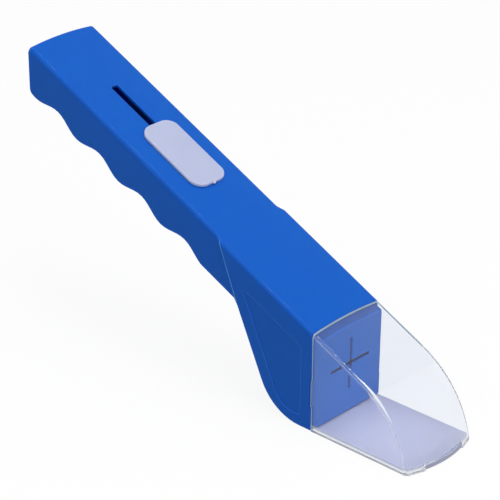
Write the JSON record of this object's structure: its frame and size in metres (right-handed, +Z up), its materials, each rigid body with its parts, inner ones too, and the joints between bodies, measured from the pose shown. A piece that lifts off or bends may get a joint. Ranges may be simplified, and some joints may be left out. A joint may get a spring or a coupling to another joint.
{
  "type": "insect catcher",
  "caption": "Hand-held insect catcher: a clear hood on a slanted grip, closed from below by a flexible plate that a thumb button slides.",
  "frame": {"origin": "under the middle of the catcher, at the level of the hood's lower rim", "axes": "+X to the front of the hood, +Y to the user's left when they look along +X, +Z up"},
  "size_m": [0.2302, 0.043, 0.129],
  "materials": {
    "housing_blue": "satin moulded plastic",
    "bulkhead_blue": "satin moulded plastic",
    "clear_plastic": "clear polished plastic",
    "pale_lavender": "fine satin moulded plastic",
    "natural_strip": "natural flexible plastic",
    "carriage_grey": "moulded plastic"
  },
  "bodies": {
    "housing": {"body_shell": "housing_blue", "grip_cover": "housing_blue", "vent_bulkhead": "bulkhead_blue", "clear_hood": "clear_plastic", "strip_guide": "carriage_grey", "flexible_strip": "natural_strip"},
    "slider": {"slide_carriage": "carriage_grey", "thumb_button": "pale_lavender"},
    "trap": {"trap_plate": "pale_lavender"}
  },
  "joints": [
    {"name": "thumb_slide", "type": "slide", "parent": "housing", "child": "slider", "axis": [-0.9056, 0, 0.4242], "range_m": [0, 0.0538], "deforming": ["flexible_strip"]},
    {"name": "trap_slide", "type": "slide", "parent": "housing", "child": "trap", "axis": [-1, 0, 0], "range_m": [0, 0.0538], "deforming": ["trap_plate"]}
  ],
  "couplings": [
    {"joint": "trap_slide", "follows": "thumb_slide", "ratio": 1}
  ]
}
